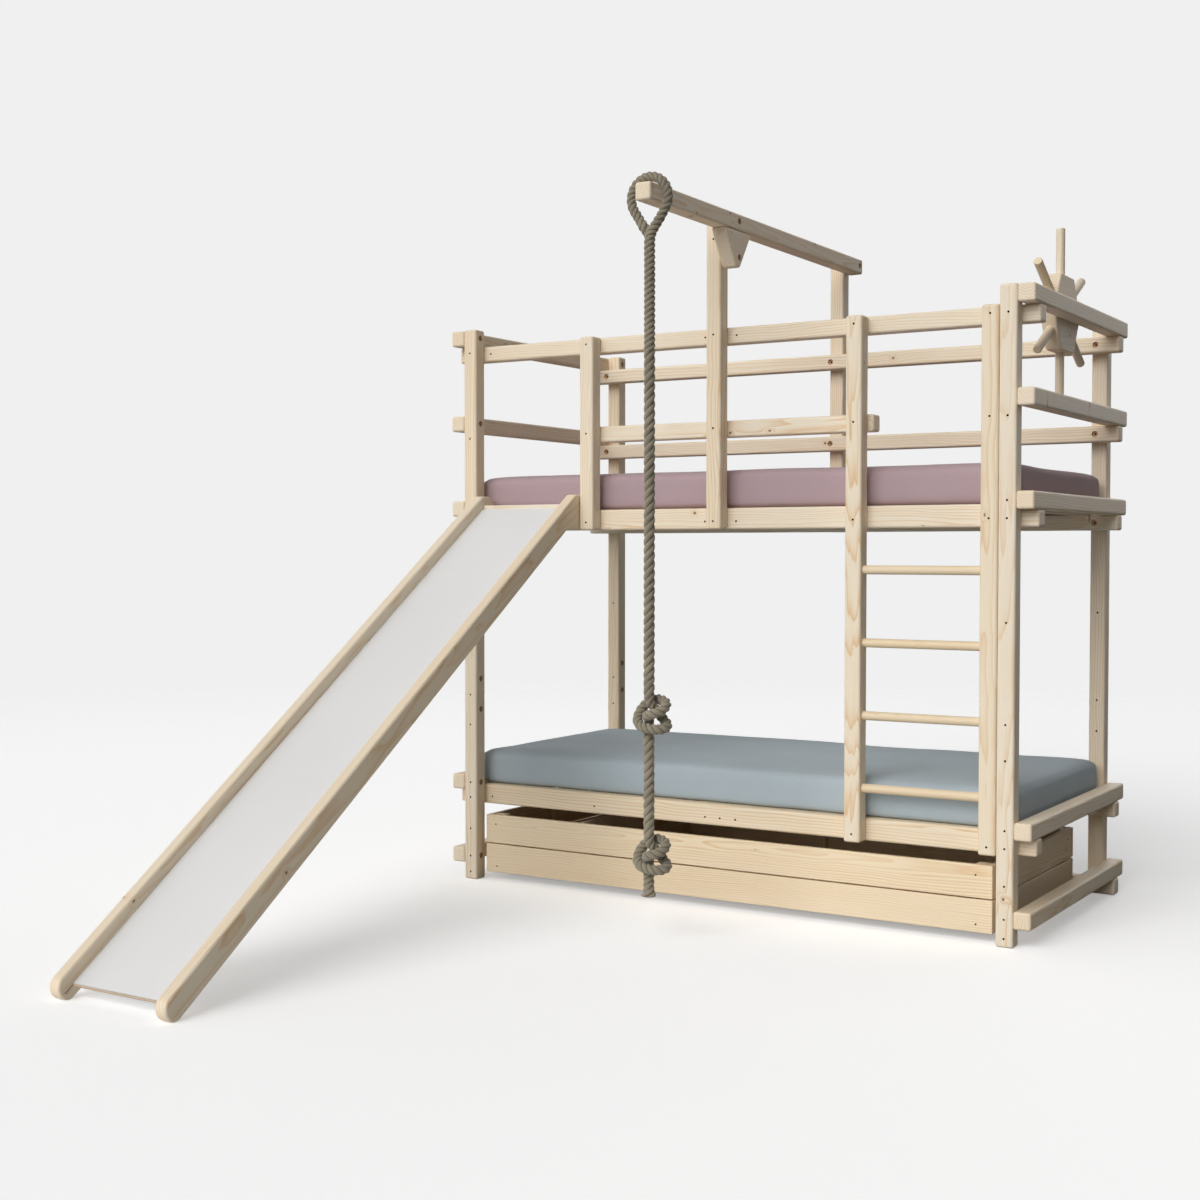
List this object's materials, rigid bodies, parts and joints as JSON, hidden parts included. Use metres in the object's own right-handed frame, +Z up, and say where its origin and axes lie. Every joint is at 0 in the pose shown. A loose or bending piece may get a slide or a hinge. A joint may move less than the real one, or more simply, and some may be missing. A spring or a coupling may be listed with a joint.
{
  "type": "bunk bed",
  "caption": "Wooden bunk bed with a slide, a ladder, a crane with a climbing rope, a steering wheel and a storage box on castors under the lower bunk.",
  "frame": {"origin": "on the floor, midway along the bed and midway between the foot of the slide and the wall side", "axes": "+Z up, +Y from the foot of the slide towards the wall side of the bed, +X along the bed towards the ladder end"},
  "size_m": [2.114, 2.914, 2.2928],
  "materials": {
    "spruce": "satin",
    "rung_wood": "satin",
    "slide_laminate": "smooth satin",
    "mauve_cover": "woven cotton",
    "grey_cover": "woven cotton",
    "rope_fibre": "laid natural fibre",
    "steel": "zinc plated",
    "castor_plastic": "moulded"
  },
  "bodies": {
    "bed_frame": {"post_front_left": "spruce", "post_front_right": "spruce", "post_back_left": "spruce", "post_back_right": "spruce", "cross_rail_left_top": "spruce", "cross_rail_left_mid": "spruce", "cross_rail_left_upper": "spruce", "cross_rail_left_lower": "spruce", "cross_rail_left_floor": "spruce", "cross_rail_right_top": "spruce", "cross_rail_right_mid": "spruce", "cross_rail_right_upper": "spruce", "cross_rail_right_lower": "spruce", "cross_rail_right_floor": "spruce", "guard_rail_front_top": "spruce", "guard_rail_back_top": "spruce", "guard_rail_front_mid": "spruce", "guard_rail_back_mid": "spruce", "floor_rail_back": "spruce", "side_rail_front_upper": "spruce", "side_rail_back_upper": "spruce", "side_rail_front_lower": "spruce", "side_rail_back_lower": "spruce", "slide_upright": "spruce", "ladder_stile_left": "spruce", "ladder_stile_right": "spruce", "ladder_rung_1": "rung_wood", "ladder_rung_2": "rung_wood", "ladder_rung_3": "rung_wood", "ladder_rung_4": "rung_wood", "crane_upright_front": "spruce", "crane_upright_back": "spruce", "crane_beam": "spruce", "crane_gusset": "spruce", "slatted_base_upper": "spruce", "slatted_base_lower": "spruce", "mattress_upper": "mauve_cover", "mattress_lower": "grey_cover", "slide_stringer_left": "spruce", "slide_stringer_right": "spruce", "slide_panel": "slide_laminate", "slide_sill": "spruce", "slide_cross_batten": "spruce", "steering_axle": "steel"},
    "bed_box": {"box_front": "spruce", "box_back": "spruce", "box_left": "spruce", "box_right": "spruce", "box_bottom": "spruce", "box_divider": "spruce", "castor_fork_front_left": "steel", "castor_fork_front_right": "steel", "castor_fork_back_left": "steel", "castor_fork_back_right": "steel"},
    "steering_wheel_turning": {"steering_wheel": "spruce"},
    "climbing_rope_hanging": {"climbing_rope": "rope_fibre"},
    "castor_front_left": {"castor_wheel_front_left": "castor_plastic"},
    "castor_front_right": {"castor_wheel_front_right": "castor_plastic"},
    "castor_back_left": {"castor_wheel_back_left": "castor_plastic"},
    "castor_back_right": {"castor_wheel_back_right": "castor_plastic"}
  },
  "joints": [
    {"name": "bed_box_pull", "type": "slide", "parent": "bed_frame", "child": "bed_box", "axis": [0, -1, 0], "range_m": [0, 0.45]},
    {"name": "steering_wheel_turn", "type": "hinge", "parent": "bed_frame", "child": "steering_wheel_turning", "pos_m": [0.975, 0.943, 1.927], "axis": [1, 0, 0], "continuous": true},
    {"name": "climbing_rope_swing", "type": "hinge", "parent": "bed_frame", "child": "climbing_rope_hanging", "pos_m": [0.054, -0.071, 2.216], "axis": [0, 1, 0], "range_deg": [-23, 23]},
    {"name": "castor_front_left_roll", "type": "hinge", "parent": "bed_box", "child": "castor_front_left", "pos_m": [-0.86, 0.596, 0.02], "axis": [1, 0, 0], "continuous": true},
    {"name": "castor_front_right_roll", "type": "hinge", "parent": "bed_box", "child": "castor_front_right", "pos_m": [0.86, 0.596, 0.02], "axis": [1, 0, 0], "continuous": true},
    {"name": "castor_back_left_roll", "type": "hinge", "parent": "bed_box", "child": "castor_back_left", "pos_m": [-0.86, 1.162, 0.02], "axis": [1, 0, 0], "continuous": true},
    {"name": "castor_back_right_roll", "type": "hinge", "parent": "bed_box", "child": "castor_back_right", "pos_m": [0.86, 1.162, 0.02], "axis": [1, 0, 0], "continuous": true}
  ],
  "couplings": [
    {"joint": "castor_front_left_roll", "follows": "bed_box_pull", "rad_per_m": 50},
    {"joint": "castor_front_right_roll", "follows": "bed_box_pull", "rad_per_m": 50},
    {"joint": "castor_back_left_roll", "follows": "bed_box_pull", "rad_per_m": 50},
    {"joint": "castor_back_right_roll", "follows": "bed_box_pull", "rad_per_m": 50}
  ]
}
